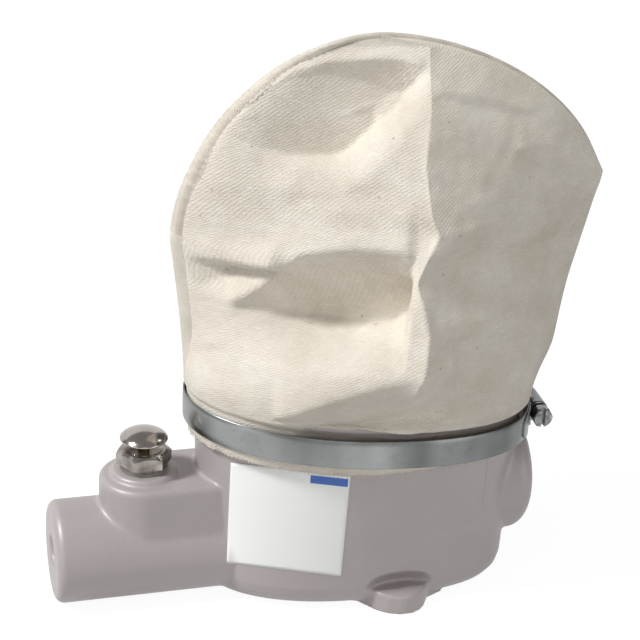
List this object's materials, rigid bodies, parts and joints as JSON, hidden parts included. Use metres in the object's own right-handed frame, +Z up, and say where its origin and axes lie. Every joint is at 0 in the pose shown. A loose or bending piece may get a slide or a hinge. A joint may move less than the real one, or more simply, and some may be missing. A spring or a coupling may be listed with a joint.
{
  "type": "spark plug cleaner",
  "caption": "Air-blast spark plug cleaner: cast oval bowl with push-button air valve, threaded inlet, round plug port, inner blast gear and clamped cloth filter bag.",
  "frame": {"origin": "on the floor, in the bowl's flat underside, under the middle of the bowl", "axes": "+Z up, -X out of the threaded air inlet, +X out of the plug port, -Y to the front with the flat pad and the label"},
  "size_m": [0.2346, 0.1076, 0.2465],
  "materials": {
    "casting": "satin grey paint over sand-cast metal",
    "bag_cloth": "unbleached cotton twill",
    "clamp_steel": "zinc plated strip",
    "clamp_screw_steel": "zinc plated, dull",
    "button_chrome": "polished",
    "gland_steel": "machined and plated",
    "brass": "machined",
    "spring_steel": "bright wire",
    "black_rubber": "moulded",
    "fibre_gasket": "grey fibre",
    "block_iron": "machined bar",
    "dark_steel": "blackened",
    "ceramic": "fired ceramic"
  },
  "bodies": {
    "cleaner": {"body_casting": "casting", "inlet_casting": "casting", "filter_bag": "bag_cloth", "clamp_band": "clamp_steel", "clamp_housing": "clamp_steel", "valve_spring": "spring_steel", "valve_bushing": "gland_steel", "bushing_gasket": "fibre_gasket", "stem_seal": "black_rubber", "seat_gasket": "fibre_gasket", "air_tube": "brass", "jet_nut": "clamp_steel", "mixing_block": "block_iron", "block_screws": "dark_steel", "pickup_tube": "brass", "blast_tube": "dark_steel", "blast_nozzle": "ceramic", "plug_adapter": "black_rubber", "adapter_washer": "clamp_steel", "port_ring": "gland_steel"},
    "button": {"push_button": "button_chrome", "valve_stem": "brass", "poppet_disc": "black_rubber"},
    "clamp_worm": {"clamp_screw": "clamp_screw_steel"}
  },
  "joints": [
    {"name": "button_press", "type": "slide", "parent": "cleaner", "child": "button", "axis": [0, 0, -1], "range_m": [0, 0.0035], "stiffness_N_per_m": 1500, "springref_m": -0.004, "deforming": ["valve_spring"]},
    {"name": "clamp_screw_turn", "type": "hinge", "parent": "cleaner", "child": "clamp_worm", "pos_m": [0.08078, -0.00532, 0.07665], "axis": [-0.0611, -0.9981, 0], "continuous": true}
  ]
}
